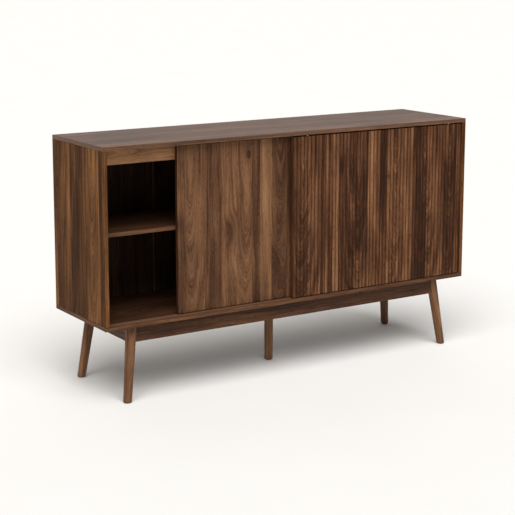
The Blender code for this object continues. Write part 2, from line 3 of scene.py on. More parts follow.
import bmesh
import bpy
import numpy as np
from mathutils import Matrix, Vector


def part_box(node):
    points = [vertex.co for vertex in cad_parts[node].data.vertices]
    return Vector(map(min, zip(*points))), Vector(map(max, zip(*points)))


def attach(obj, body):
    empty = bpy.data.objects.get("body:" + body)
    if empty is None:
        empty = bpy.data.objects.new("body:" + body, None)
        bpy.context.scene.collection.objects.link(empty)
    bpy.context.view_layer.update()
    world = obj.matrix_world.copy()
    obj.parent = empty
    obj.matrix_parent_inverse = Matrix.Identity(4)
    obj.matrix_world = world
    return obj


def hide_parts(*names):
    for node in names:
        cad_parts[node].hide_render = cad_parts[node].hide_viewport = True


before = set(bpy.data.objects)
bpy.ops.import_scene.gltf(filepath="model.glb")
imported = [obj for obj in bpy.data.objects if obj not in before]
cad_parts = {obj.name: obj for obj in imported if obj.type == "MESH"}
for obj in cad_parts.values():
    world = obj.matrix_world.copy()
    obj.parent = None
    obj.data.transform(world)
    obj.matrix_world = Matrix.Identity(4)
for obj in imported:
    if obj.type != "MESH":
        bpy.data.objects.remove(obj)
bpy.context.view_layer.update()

# ---------------------------------------------------------------- camera
# A catalogue view from the front left, a little above the top: a long lens, turned a third
# of a right angle and tipped slightly down, with a small vertical shift to frame the legs.
lens_length, sensor_width = 98.65, 36.0
stand = Vector((-2.914, -4.4136, 1.5517))
turn, tip, roll = math.radians(32.96), math.radians(9.92), math.radians(0.1)
ahead = Vector((math.sin(turn) * math.cos(tip), math.cos(turn) * math.cos(tip), -math.sin(tip)))
level = Vector((math.cos(turn), -math.sin(turn), 0.0))
upward = level.cross(ahead)
right = level * math.cos(roll) + upward * math.sin(roll)
upward = right.cross(ahead)

view = bpy.data.cameras.new("catalogue_view")
view.lens, view.sensor_width = lens_length, sensor_width
view.shift_y = -0.1117
view.clip_start, view.clip_end = 0.1, 200.0
camera = bpy.data.objects.new("catalogue_view", view)
camera.matrix_world = Matrix((right, upward, -ahead)).transposed().to_4x4()
camera.location = stand
bpy.context.scene.collection.objects.link(camera)
bpy.context.scene.camera = camera


# ---------------------------------------------------------------- studio floor and light
# A white paper floor that runs out of sight. One broad soft light stands high at the front
# left, and the room is dim but for one pale wall at the back right, which the top reflects.
def linear(code):
    """Linear colour with alpha, from an sRGB hex code."""
    channels = np.array([int(code[i:i + 2], 16) for i in (0, 2, 4)]) / 255.0
    low, high = channels / 12.92, ((channels + 0.055) / 1.055) ** 2.4
    return (*np.where(channels <= 0.04045, low, high), 1.0)


def add_node(tree, kind, inputs=None, **settings):
    """Adds a shader node. settings are its properties; inputs are its sockets, each a value,
    a socket to link from, or a node, which is linked from its first output."""
    made = tree.nodes.new("ShaderNode" + kind)
    for key, value in settings.items():
        setattr(made, key, value)
    for key, value in (inputs or {}).items():
        if isinstance(value, bpy.types.Node):
            value = value.outputs[0]
        if isinstance(value, bpy.types.NodeSocket):
            tree.links.new(value, made.inputs[key])
        else:
            made.inputs[key].default_value = value
    return made


def new_material(name, **sockets):
    """A material with one Principled shader, and its constant sockets set by name."""
    made = bpy.data.materials.new(name)
    made.use_nodes = True
    shader = made.node_tree.nodes["Principled BSDF"]
    for key, value in sockets.items():
        shader.inputs[key.replace("_", " ")].default_value = value
    return made, made.node_tree, shader


def set_ramp(ramp, stops, interpolation="LINEAR"):
    """Sets a Color Ramp's stops from (position, colour) pairs in rising order."""
    ramp = ramp.color_ramp
    ramp.interpolation = interpolation
    while len(ramp.elements) > 1:
        ramp.elements.remove(ramp.elements[-1])
    ramp.elements[0].position, ramp.elements[0].color = stops[0]
    for position, colour in stops[1:]:
        ramp.elements.new(position).color = colour


# Matt white background paper: a faint mottle, and almost no gloss.
paper, tree, shader = new_material("matt_white_paper", Roughness=0.9)
where = add_node(tree, "TexCoord")
mottle = add_node(tree, "TexNoise", {"Vector": where.outputs["Object"], "Scale": 2.0, "Detail": 2.0})
shade = add_node(tree, "ValToRGB", {"Fac": mottle.outputs["Fac"]})
set_ramp(shade, [(0.0, linear("EAE8E5")), (1.0, linear("EEECE9"))])
tree.links.new(shade.outputs["Color"], shader.inputs["Base Color"])

floor_reach = 60.0
floor_mesh = bpy.data.meshes.new("paper_floor")
floor_mesh.from_pydata([(-floor_reach, -floor_reach, 0), (floor_reach, -floor_reach, 0),
                        (floor_reach, floor_reach, 0), (-floor_reach, floor_reach, 0)],
                       [], [(0, 1, 2, 3)])
floor_mesh.materials.append(paper)
floor = bpy.data.objects.new("paper_floor", floor_mesh)
bpy.context.scene.collection.objects.link(floor)

room = bpy.data.worlds.new("studio_room")
room.use_nodes = True
tree = room.node_tree
around = add_node(tree, "TexCoord")
towards = add_node(tree, "VectorMath", {0: around.outputs["Generated"], 1: (0.53, 0.82, 0.22)},
                   operation="DOT_PRODUCT")
wall = add_node(tree, "MapRange", {"Value": towards.outputs["Value"], "From Min": 0.55,
                                   "From Max": 0.95, "To Min": 0.27, "To Max": 0.90},
                interpolation_type="SMOOTHSTEP")
tree.nodes["Background"].inputs["Color"].default_value = linear("F4F3F1")
tree.links.new(wall.outputs["Result"], tree.nodes["Background"].inputs["Strength"])
bpy.context.scene.world = room

sun = bpy.data.lights.new("soft_key_light", "SUN")
sun.energy, sun.angle = 3.35, math.radians(55.0)
lamp = bpy.data.objects.new("soft_key_light", sun)
lamp.rotation_mode = "QUATERNION"
lamp.rotation_quaternion = Vector((0.225, 0.42, -0.80)).to_track_quat("-Z", "Y")
bpy.context.scene.collection.objects.link(lamp)
bpy.context.scene.view_settings.view_transform = "Standard"


# ---------------------------------------------------------------- base frame
# Rails, a cross stretcher and corner blocks, glued up before the legs are bolted in. The rails
# and stretcher are solid rubberwood stained walnut, planed and sprayed with a satin lacquer.
walnut = ("342116", "482F20", "62432E", "7C583D", "946C4C")
pale_rubberwood = ("A07A4C", "BE9560", "D0AA76", "DDBC8C", "E8CDA4")


def wood_figure(tree, point, tone, ring_width, palette, contrast=1.0):
    """Colour, roughness and height sockets of a wood at a point in its log.

    The log's own axes are X and Y across and Z along. Its growth rings are tubes round the
    axis, which wander a little, so a sawn face shows straight lines far from the axis and
    nested arches near it. Heartwood bands and streaks follow the rings. Over them lie clouds,
    fibres and dark open pores.
    """
    slow = add_node(tree, "Mapping", {"Vector": point, "Scale": (7.0, 7.0, 2.2)})
    drift = add_node(tree, "TexNoise", {"Vector": slow, "Scale": 1.0, "Detail": 3.0,
                                        "Roughness": 0.55})
    centred = add_node(tree, "VectorMath", {0: drift.outputs["Color"], 1: (0.5, 0.5, 0.5)},
                       operation="SUBTRACT")
    bent = add_node(tree, "VectorMath", {0: centred, 1: (0.040, 0.040, 0.0), 2: point},
                    operation="MULTIPLY_ADD")
    flat = add_node(tree, "VectorMath", {0: bent, 1: (1.0, 1.0, 0.0)}, operation="MULTIPLY")
    radius = add_node(tree, "VectorMath", {0: flat}, operation="LENGTH").outputs["Value"]
    along = add_node(tree, "SeparateXYZ", {"Vector": bent}).outputs["Z"]
    radial = add_node(tree, "CombineXYZ", {"X": radius, "Y": along})

    # Rings: pale early wood that darkens slowly to a thin late-wood line.
    count = add_node(tree, "Math", {0: radius, 1: 1.0 / ring_width}, operation="MULTIPLY")
    step = add_node(tree, "Math", {0: count}, operation="FRACT")
    ring = add_node(tree, "ValToRGB", {"Fac": step})
    set_ramp(ring, [(place, (grey, grey, grey, 1.0)) for place, grey in
                    ((0.0, 0.35), (0.15, 0.68), (0.55, 0.55), (0.88, 0.05), (1.0, 0.35))])
    # Heartwood bands about 25 mm wide, and streaks 2 to 7 mm wide and half a metre long.
    band_place = add_node(tree, "Mapping", {"Vector": radial, "Scale": (40.0, 1.5, 1.0)})
    band = add_node(tree, "TexNoise", {"Vector": band_place, "Scale": 1.0, "Detail": 2.0})
    streak_place = add_node(tree, "Mapping", {"Vector": radial, "Scale": (150.0, 2.4, 1.0)})
    streak = add_node(tree, "TexNoise", {"Vector": streak_place, "Scale": 1.0, "Detail": 3.0,
                                         "Roughness": 0.65})
    # Clouds of darker colour, about 60 mm wide and 200 mm long.
    cloud_place = add_node(tree, "Mapping", {"Vector": bent, "Scale": (16.0, 16.0, 4.5)})
    cloud = add_node(tree, "TexNoise", {"Vector": cloud_place, "Scale": 1.0, "Detail": 2.0})
    # Fibres about 1.4 mm apart, and pores 2 mm wide by 30 mm long, both coarser than real.
    fibre_place = add_node(tree, "Mapping", {"Vector": bent, "Scale": (700.0, 700.0, 18.0)})
    fibre = add_node(tree, "TexNoise", {"Vector": fibre_place, "Scale": 1.0, "Detail": 2.0})
    pore_place = add_node(tree, "Mapping", {"Vector": bent, "Scale": (430.0, 430.0, 30.0)})
    pore_field = add_node(tree, "TexNoise", {"Vector": pore_place, "Scale": 1.0, "Detail": 1.0})
    pore = add_node(tree, "MapRange", {"Value": pore_field.outputs["Fac"], "From Min": 0.57,
                                       "From Max": 0.70})

    shade = tone
    for part, share in ((ring.outputs["Color"], 0.22), (band.outputs["Fac"], 0.75),
                        (streak.outputs["Fac"], 0.95), (cloud.outputs["Fac"], 0.55),
                        (fibre.outputs["Fac"], 0.30)):
        centred = add_node(tree, "Math", {0: part, 1: 0.5}, operation="SUBTRACT")
        shade = add_node(tree, "Math", {0: centred, 1: share * contrast, 2: shade},
                         operation="MULTIPLY_ADD")
    shade = add_node(tree, "Math", {0: pore, 1: -0.22, 2: shade}, operation="MULTIPLY_ADD")
    colour = add_node(tree, "ValToRGB", {"Fac": shade})
    set_ramp(colour, [(index / 4, linear(code)) for index, code in enumerate(palette)])
    rough = add_node(tree, "Math", {0: fibre.outputs["Fac"], 1: 0.16, 2: 0.40},
                     operation="MULTIPLY_ADD")
    height = add_node(tree, "Math", {0: pore, 1: -1.0, 2: fibre.outputs["Fac"]},
                      operation="MULTIPLY_ADD")
    return colour.outputs["Color"], rough.outputs[0], height.outputs[0]


def finish_wood(tree, shader, sockets, relief):
    """Links a wood's colour, roughness and height to its shader; relief is in metres."""
    colour, rough, height = sockets
    bump = add_node(tree, "Bump", {"Height": height, "Strength": 0.5, "Distance": relief})
    tree.links.new(colour, shader.inputs["Base Color"])
    tree.links.new(rough, shader.inputs["Roughness"])
    tree.links.new(bump.outputs["Normal"], shader.inputs["Normal"])


def solid_wood(name, pith, turned=(0.0, 0.0, 0.0), tone=0.31, palette=walnut):
    """Solid wood whose grain runs along X before it is turned; pith is where its log's axis
    lies, in metres from the origin, across the grain along Y and Z."""
    made, tree, shader = new_material(name, Specular_IOR_Level=0.1)
    where = add_node(tree, "TexCoord")
    level = add_node(tree, "Mapping", {"Vector": where.outputs["Object"],
                                       "Rotation": tuple(math.radians(a) for a in turned)})
    axes = add_node(tree, "SeparateXYZ", {"Vector": level})
    place = add_node(tree, "CombineXYZ", {"X": axes.outputs["Y"], "Y": axes.outputs["Z"],
                                          "Z": axes.outputs["X"]})
    point = add_node(tree, "VectorMath", {0: place, 1: (*pith, 0.0)}, operation="SUBTRACT")
    finish_wood(tree, shader, wood_figure(tree, point, tone, 0.006, palette), 0.0002)
    return made


def give(material, *nodes):
    """Puts a material on CAD nodes, in place of the one that they came with."""
    for node in nodes:
        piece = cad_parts[node]
        piece.data.materials.clear()
        piece.data.materials.append(material)


# Rubberwood takes walnut stain unevenly, so its streaks stay visible under the lacquer.
# The rails and stretcher take a tone far below the legs': painted shade for the shade under the body.
give(solid_wood("walnut_stained_rail", (-0.10, 0.16)), "front_base_rail", "back_base_rail")
give(solid_wood("walnut_stained_cross_rail", (0.35, 0.16), (0.0, 0.0, -90.0)),
     "left_base_rail", "right_base_rail", "centre_stretcher")

# The corner blocks are never seen, so they stay raw: pale, dry and slightly rough.
for diagonal, corners in ((45.0, ("front_right", "back_left")), (-45.0, ("front_left", "back_right"))):
    raw = solid_wood("raw_rubberwood_" + corners[0], (0.02, 0.10), (0.0, 0.0, diagonal), 0.5,
                     pale_rubberwood)
    give(raw, *(corner + "_corner_block" for corner in corners))


# ---------------------------------------------------------------- legs
# Five turned rubberwood legs, stained and lacquered like the rails. The four corner legs are
# straight tapers, splayed both ways and sawn level at both ends; the middle one stands upright.
def loft(name, rings, grain, material, body="carcass", sharp=35.0):
    """A closed surface through rings of points, an array of rings by points by 3.

    Each ring is joined to the next all the way round. The first and last rings have shrunk to
    a point, and their doubles are merged. grain holds each point's place in its log.
    """
    count, sides = rings.shape[:2]
    corner = np.arange(count * sides).reshape(count, sides)
    after = np.roll(corner, -1, axis=1)
    quads = np.stack((corner[:-1], after[:-1], after[1:], corner[1:]), axis=-1).reshape(-1, 4)
    return close_piece(name, rings.reshape(-1, 3), quads, grain.reshape(-1, 3), material, body, sharp)


def close_piece(name, points, quads, grain, material, body, sharp):
    """Makes a piece from points and faces: merges doubles, turns faces outwards, rides."""
    mesh = bpy.data.meshes.new(name)
    mesh.from_pydata(points.tolist(), [], quads.tolist())
    mesh.attributes.new("grain", "FLOAT_VECTOR", "POINT").data.foreach_set(
        "vector", np.asarray(grain, np.float32).ravel())
    shape = bmesh.new()
    shape.from_mesh(mesh)
    bmesh.ops.remove_doubles(shape, verts=shape.verts, dist=1e-6)
    bmesh.ops.dissolve_degenerate(shape, edges=shape.edges, dist=1e-7)
    bmesh.ops.recalc_face_normals(shape, faces=shape.faces)
    shape.to_mesh(mesh)
    shape.free()
    mesh.shade_smooth()
    mesh.set_sharp_from_angle(angle=math.radians(sharp))
    mesh.materials.append(material)
    piece = bpy.data.objects.new(name, mesh)
    bpy.context.scene.collection.objects.link(piece)
    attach(piece, body)
    return piece


def tapered_leg(foot, top, foot_radius, top_radius, low, high, sides=64):
    """Rings and grain of a straight taper from foot to top, sawn level at low and high.

    A line of the cone at angle a leaves the centre line sideways by its radius. It meets the
    level z at the distance s along the axis where foot z + s * axis z + radius(s) * sideways z
    equals z. The foot end has a small chamfer, whose radius is less by its own height.
    """
    axis = top - foot
    length = axis.length
    axis = axis / length
    side = Vector((1.0, 0.0, 0.0)).cross(axis).normalized()
    other = axis.cross(side)
    angles = np.linspace(0.0, math.tau, sides, endpoint=False)
    sideways = np.outer(np.cos(angles), side) + np.outer(np.sin(angles), other)
    slope = (top_radius - foot_radius) / length
    chamfer = 0.0015
    rows = [(low, -foot_radius), (low, -chamfer), (low + chamfer / 3, -chamfer / 3),
            (low + chamfer, 0.0)]
    rows += [(height, 0.0) for height in np.linspace(low, high, 9)[1:]] + [(high, -top_radius)]
    rings, grain = [], []
    for height, less in rows:
        reach = (height - foot.z - foot_radius * sideways[:, 2]) / (axis.z + slope * sideways[:, 2])
        radius = foot_radius + slope * reach
        radius = np.where(less <= -foot_radius, 0.0, radius + less)
        reach = (height - foot.z - radius * sideways[:, 2]) / axis.z
        rings.append(np.array(foot) + np.outer(reach, axis) + radius[:, None] * sideways)
        grain.append(np.stack((radius * np.cos(angles), radius * np.sin(angles), reach), axis=1))
    return np.array(rings), np.array(grain)


# Satin-lacquered rubberwood again, with the grain along each leg's own axis.
leg_wood, tree, shader = new_material("walnut_stained_leg", Specular_IOR_Level=0.12)
grain = add_node(tree, "Attribute", attribute_name="grain")
finish_wood(tree, shader, wood_figure(tree, grain.outputs["Vector"], 0.72, 0.006, walnut), 0.0002)

foot_radius, top_radius = 0.0152, 0.0200
middle_foot_radius, middle_top_radius = 0.0160, 0.0178
# The corner legs' centre lines meet the body's underside this far out from the middle.
top_sideways, top_forward, underside = 0.678, 0.154, 0.270
for side, hand in ((-1, "left"), (1, "right")):
    for end, face in ((-1, "front"), (1, "back")):
        node = f"{face}_{hand}_leg"
        low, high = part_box(node)
        glide_low, glide_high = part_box(f"{face}_{hand}_glide")
        foot = Vector(((glide_low.x + glide_high.x) / 2, (glide_low.y + glide_high.y) / 2, 0.0))
        top = Vector((side * top_sideways, end * top_forward, underside))
        rings, grain = tapered_leg(foot, top, foot_radius, top_radius, low.z, high.z)
        # Each leg was turned from its own billet, off to one side of its log's axis.
        grain = grain + np.array((0.045 + 0.02 * end, 0.012 * side, 1.7 * side + 0.6 * end))
        leg = loft(f"{face}_{hand}_turned_leg", rings, grain, leg_wood)
        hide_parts(node)
low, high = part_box("centre_leg")
rings, grain = tapered_leg(Vector((0, 0, 0)), Vector((0, 0, high.z)), middle_foot_radius,
                           middle_top_radius, low.z, high.z)
leg = loft("centre_turned_leg", rings, grain + np.array((0.04, 0.0, 9.0)), leg_wood)
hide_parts("centre_leg")


# ---------------------------------------------------------------- bolts and glides
# Zinc-plated steel bolts with a hexagon socket draw the corner legs home, and a dowel screw
# holds the middle leg. Each foot stands on a moulded black glide with a nail through it.
def turned(name, profile, start, axis, material, body="carcass", sides=32, six_sided=()):
    """A turned piece: each (radius, height) of the profile is carried once round the axis.

    A row in six_sided is a hexagon: at angle a from the middle of a flat, its radius is the
    flat's distance divided by cos a.
    """
    axis = Vector(axis).normalized()
    side = axis.orthogonal().normalized()
    other = axis.cross(side)
    angles = np.linspace(0.0, math.tau, sides, endpoint=False)
    sideways = np.outer(np.cos(angles), side) + np.outer(np.sin(angles), other)
    sixth = math.tau / 6
    hexagon = 1.0 / np.cos((angles % sixth) - sixth / 2)
    rings = []
    for row, (radius, height) in enumerate(profile):
        reach = radius * (hexagon if row in six_sided else np.ones(sides))
        rings.append(np.array(start) + height * np.array(axis) + reach[:, None] * sideways)
    rings = np.array(rings)
    return loft(name, rings, rings, material, body)


def arc(radius, height, size, first, last, steps=4):
    """Points of a rounded edge: a quarter circle of that size about (radius, height)."""
    bend = np.radians(np.linspace(first, last, steps + 1))
    return [(radius + size * math.cos(a), height + size * math.sin(a)) for a in bend]


# Bright zinc plating: a bluish grey metal with a faint cloudy passivation.
zinc, tree, shader = new_material("zinc_plated_steel", Metallic=1.0)
where = add_node(tree, "TexCoord")
cloud = add_node(tree, "TexNoise", {"Vector": where.outputs["Object"], "Scale": 260.0, "Detail": 3.0})
shade = add_node(tree, "ValToRGB", {"Fac": cloud.outputs["Fac"]})
set_ramp(shade, [(0.3, linear("A9AEB4")), (0.7, linear("C9CCCF"))])
rough = add_node(tree, "MapRange", {"Value": cloud.outputs["Fac"], "To Min": 0.25, "To Max": 0.42})
tree.links.new(shade.outputs["Color"], shader.inputs["Base Color"])
tree.links.new(rough.outputs["Result"], shader.inputs["Roughness"])

bolt_radius, head_radius, head_thick, head_round = 0.004, 0.0075, 0.006, 0.001
socket_flat, socket_deep = 0.0025, 0.0035
for side, hand in ((-1, "left"), (1, "right")):
    for end, face in ((-1, "front"), (1, "back")):
        node = f"{face}_{hand}_leg_bolt"
        low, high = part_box(node)
        inner = Vector((low.x if side > 0 else high.x, low.y if end > 0 else high.y, 0.0))
        outer = Vector((high.x if side > 0 else low.x, high.y if end > 0 else low.y, 0.0))
        axis = Vector((side, end, 0.0)).normalized()
        # The head's rim reaches past its middle by the radius, turned by the bolt's 45 degrees.
        start = inner + Vector((side, end, 0.0)) * head_radius * math.sqrt(0.5)
        start.z = (low.z + high.z) / 2
        shank = (outer - inner).length - head_radius - bolt_radius - head_thick
        profile = [(0.0, socket_deep), (socket_flat, socket_deep), (socket_flat, 0.0),
                   *arc(head_radius - head_round, head_round, head_round, -90.0, 0.0),
                   (head_radius, head_thick),
                   (bolt_radius, head_thick), (bolt_radius, head_thick + shank), (0.0, head_thick + shank)]
        bolt = turned(node + "_socket_head", profile, start, axis, zinc, six_sided=(1, 2))
        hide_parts(node)
give(zinc, "centre_leg_bolt")


def moulded(name, code, roughness, grain):
    """Moulded plastic of one colour with a faint mottle and the fine texture of its mould."""
    made, tree, shader = new_material(name, Roughness=roughness)
    where = add_node(tree, "TexCoord")
    mottle = add_node(tree, "TexNoise", {"Vector": where.outputs["Object"], "Scale": 60.0})
    dark, pale = np.array(linear(code)) * 0.85, np.array(linear(code)) * 1.1
    shade = add_node(tree, "ValToRGB", {"Fac": mottle.outputs["Fac"]})
    set_ramp(shade, [(0.3, (*dark[:3], 1.0)), (0.7, (*pale[:3], 1.0))])
    spark = add_node(tree, "TexNoise", {"Vector": where.outputs["Object"], "Scale": 1.0 / grain})
    bump = add_node(tree, "Bump", {"Height": spark.outputs["Fac"], "Strength": 0.3,
                                   "Distance": 0.0001})
    tree.links.new(shade.outputs["Color"], shader.inputs["Base Color"])
    tree.links.new(bump.outputs["Normal"], shader.inputs["Normal"])
    return made


# Black polyethylene: a soft sheen, and a fine grain from the mould.
glide_plastic = moulded("black_polyethylene", "1E1A18", 0.5, 0.0006)
glide_round, nail_recess, recess_mouth, recess_deep = 0.0008, 0.0030, 0.0034, 0.0012
for name in ("front_left", "front_right", "back_left", "back_right", "centre"):
    low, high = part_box(name + "_glide")
    radius, thick = (high.x - low.x) / 2, high.z - low.z
    middle = ((low.x + high.x) / 2, (low.y + high.y) / 2, 0.0)
    profile = [(0.0, recess_deep), (nail_recess, recess_deep), (recess_mouth, 0.0),
               *arc(radius - glide_round, glide_round, glide_round, -90.0, 0.0),
               (radius, thick), (0.0, thick)]
    glide = turned(name + "_moulded_glide", profile, middle, (0, 0, 1), glide_plastic, sides=48)
    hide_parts(name + "_glide")


# ---------------------------------------------------------------- body boards
# 15 mm particleboard faced with printed walnut foil under a matt melamine skin. The print is a
# row of veneer strips, each from its own log, and the edges have bands with lengthwise grain.
square_on = 0.7


def foil_board(node, along, planks, knots=(), tilt=-0.09, gloss=0.06, palette=walnut,
               contrast=1.1, band_tone_and_shade=0.5):
    """Foil for a board whose grain runs along the axis named.

    planks are strips across it, as (width, tone, pith, depth): pith is where the log's axis
    lies beside the strip's middle, and depth is how far it lies below the face, at the board's
    middle. tilt makes it deeper towards one end, which closes the rings into arches. knots
    are (across, along, size). gloss is the specular level, and band_tone_and_shade the edges'
    tone, set low as painted shade where a board's edges lie in shade.
    """
    low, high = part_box(node)
    names = "XYZ"
    long_axis = names.index(along)
    thin_axis = min((i for i in range(3) if i != long_axis), key=lambda i: high[i] - low[i])
    wide_axis = 3 - long_axis - thin_axis
    made, tree, shader = new_material("walnut_foil_" + node, Specular_IOR_Level=gloss)
    where = add_node(tree, "TexCoord")
    place = add_node(tree, "SeparateXYZ", {"Vector": where.outputs["Object"]})
    facing = add_node(tree, "SeparateXYZ", {"Vector": where.outputs["Normal"]})
    long_way, wide_way, thin_way = (place.outputs[names[i]] for i in (long_axis, wide_axis, thin_axis))

    # The edges are banded: their grain runs along each edge, whichever way the board's does.
    # A face whose normal is within 45 degrees of an axis counts as facing along it.
    flatness = add_node(tree, "Math", {0: facing.outputs[names[thin_axis]]}, operation="ABSOLUTE")
    is_band = add_node(tree, "Math", {0: flatness, 1: square_on}, operation="LESS_THAN")
    endwise = add_node(tree, "Math", {0: facing.outputs[names[long_axis]]}, operation="ABSOLUTE")
    is_end = add_node(tree, "Math", {0: endwise, 1: square_on}, operation="GREATER_THAN")
    band_along = add_node(tree, "Mix", {"Factor": is_end, 2: long_way, 3: wide_way})
    band_point = add_node(tree, "CombineXYZ", {"X": thin_way, "Y": 0.2, "Z": band_along})

    # Each strip's tone, pith, depth and log are a colour on a stepped ramp across the board.
    start, span = low[wide_axis], high[wide_axis] - low[wide_axis]
    share = add_node(tree, "MapRange", {"Value": wide_way, "From Min": start, "From Max": start + span})
    total = sum(width for width, *_ in planks)
    stops, edge = [], 0.0
    for index, (width, tone, pith, depth) in enumerate(planks):
        pith_place = edge + width * span / total / 2 + pith
        stops.append((edge / span, (tone, (pith_place + 0.5) / (span + 1.0), depth / 0.1,
                                    (index * 7 % 11) / 11.0)))
        edge += width * span / total
    strips = add_node(tree, "ValToRGB", {"Fac": share.outputs["Result"]})
    set_ramp(strips, stops, "CONSTANT")
    parts = add_node(tree, "SeparateColor", {"Color": strips.outputs["Color"]})
    pith = add_node(tree, "MapRange", {"Value": parts.outputs["Green"], "To Min": start - 0.5,
                                       "To Max": start + span + 0.5})
    depth = add_node(tree, "Math", {0: parts.outputs["Blue"], 1: 0.1}, operation="MULTIPLY")
    log_number = add_node(tree, "Math", {0: strips.outputs["Alpha"], 1: 37.0}, operation="MULTIPLY")

    # A branch lifts the rings round it, and darkens them towards its middle.
    lift, gloom = depth, parts.outputs["Red"]
    for knot_across, knot_along, size in knots:
        spot = [0.0, 0.0, 0.0]
        spot[wide_axis], spot[long_axis], spot[thin_axis] = knot_across, knot_along, high[thin_axis]
        reach = [0.0, 0.0, 0.0]
        reach[wide_axis], reach[long_axis], reach[thin_axis] = size, size * 2.2, 1.0
        near = add_node(tree, "Mapping", {"Vector": where.outputs["Object"], "Location": spot,
                                          "Scale": reach}, vector_type="TEXTURE")
        swell = add_node(tree, "TexGradient", {"Vector": near}, gradient_type="QUADRATIC_SPHERE")
        lift = add_node(tree, "Math", {0: swell.outputs["Fac"], 1: 0.030, 2: lift},
                        operation="MULTIPLY_ADD")
        gloom = add_node(tree, "Math", {0: swell.outputs["Fac"], 1: -0.32, 2: gloom},
                         operation="MULTIPLY_ADD")

    middle = (low[long_axis] + high[long_axis]) / 2
    rise = add_node(tree, "Math", {0: long_way, 1: middle}, operation="SUBTRACT")
    sunk = add_node(tree, "Math", {0: rise, 1: tilt, 2: lift}, operation="MULTIPLY_ADD")
    beside = add_node(tree, "Math", {0: wide_way, 1: pith.outputs["Result"]}, operation="SUBTRACT")
    further = add_node(tree, "Math", {0: long_way, 1: log_number}, operation="ADD")
    face_point = add_node(tree, "CombineXYZ", {"X": beside, "Y": sunk, "Z": further})
    point = add_node(tree, "Mix", {"Factor": is_band, 4: face_point, 5: band_point},
                     data_type="VECTOR")
    tone = add_node(tree, "Mix", {"Factor": is_band, 2: gloom, 3: band_tone_and_shade})
    figure = wood_figure(tree, point.outputs[1], tone.outputs[0], 0.0024, palette, contrast)
    finish_wood(tree, shader, figure, 0.00015)
    return made


# A strip whose log axis lies this far beside it shows straight grain.
straight = 0.22
# The bottom board's strips are set in low tones: painted shade for the shade inside the bays.
give(foil_board("bottom_panel", "X", [(0.10, 0.24, -straight, 0.03), (0.10, 0.18, 0.01, 0.03),
                                      (0.10, 0.24, straight, 0.03), (0.10, 0.20, 0.0, 0.03)]),
     "bottom_panel")
side_planks = [(0.010, 0.42, straight, 0.03), (0.025, 0.26, straight, 0.03),
               (0.075, 0.64, 0.015, 0.03), (0.045, 0.54, straight, 0.03),
               (0.070, 0.30, -straight, 0.03), (0.035, 0.26, 0.02, 0.03),
               (0.035, 0.50, straight, 0.03), (0.080, 0.36, 0.03, 0.03), (0.025, 0.50, straight, 0.03)]
# The side panels are printed in a slightly redder batch.
warm_walnut = ("362112", "4B2F19", "674327", "825834", "9B6C42")
give(foil_board("left_side_panel", "Z", side_planks, [(0.02, 0.50, 0.05)], gloss=0.02,
                palette=warm_walnut, contrast=1.25), "left_side_panel")
give(foil_board("right_side_panel", "Z", side_planks[::-1], [(-0.05, 0.62, 0.04)], gloss=0.02,
                palette=warm_walnut, contrast=1.25), "right_side_panel")
give(foil_board("centre_divider", "Z", side_planks[2:]), "centre_divider")
# The rails behind the doors' top edge were cut from a paler sheet of foil.
pale_walnut = ("62432E", "7C583D", "946C4C", "A97D59", "BD9068")
give(foil_board("left_top_rail", "X", [(0.055, 0.48, 0.02, 0.03)], [(-0.58, 0.868, 0.022)], 0.05,
                palette=pale_walnut, contrast=1.5), "left_top_rail")
give(foil_board("right_top_rail", "X", [(0.055, 0.44, 0.03, 0.03)], palette=pale_walnut),
     "right_top_rail")
# The top's strips take lower tones than the doors': painted shade that offsets the stronger light falling
# on the top.
top_planks = [(0.09, 0.50, straight, 0.03), (0.08, 0.38, 0.0, 0.04), (0.07, 0.46, -straight, 0.03),
              (0.09, 0.36, 0.02, 0.04), (0.07, 0.42, straight, 0.03)]
give(foil_board("top_panel", "X", top_planks, tilt=0.02, gloss=0.27), "top_panel")
# The shelves' strips take the lowest tones of all: painted shade for the shade inside the bays.
shelf_planks = [(0.09, 0.18, straight, 0.03), (0.085, 0.10, 0.01, 0.03), (0.08, 0.14, -straight, 0.03),
                (0.08, 0.12, 0.0, 0.03)]
for hand in ("left", "right"):
    give(foil_board(hand + "_shelf", "X", shelf_planks if hand == "left" else shelf_planks[::-1]),
         hand + "_shelf")


# ---------------------------------------------------------------- back panels
# 3 mm hardboard, printed dark walnut on the inside and left raw and brown on the outside.
# The inside print is set darker still, as painted shade for the shade deep inside the bays.
# Each panel is scored down its middle, where it folds flat to fit its carton.
board, tree, shader = new_material("printed_hardboard", Specular_IOR_Level=0.1)
where = add_node(tree, "TexCoord")
axes = add_node(tree, "SeparateXYZ", {"Vector": where.outputs["Object"]})
point = add_node(tree, "CombineXYZ", {"X": axes.outputs["X"], "Y": 0.12, "Z": axes.outputs["Z"]})
# Dark walnut print, darkened further as painted shade for the dark inside of the bays.
dark_print_and_shade = ("1C140E", "2E2017", "422F22", "563E2D", "6A4F3A")
printed, print_rough, _ = wood_figure(tree, point, 0.42, 0.011, dark_print_and_shade)
facing = add_node(tree, "SeparateXYZ", {"Vector": where.outputs["Normal"]})
outside = add_node(tree, "Math", {0: facing.outputs["Y"], 1: 0.5}, operation="GREATER_THAN")
# The print has cracked open along the fold, and shows the raw board.
fold_place, fold_half_width = 0.40, 0.0016
sideways = add_node(tree, "Math", {0: axes.outputs["X"]}, operation="ABSOLUTE")
on_fold = add_node(tree, "Math", {0: sideways, 1: fold_place, 2: fold_half_width},
                   operation="COMPARE")
bare = add_node(tree, "Math", {0: outside, 1: on_fold}, operation="MAXIMUM")
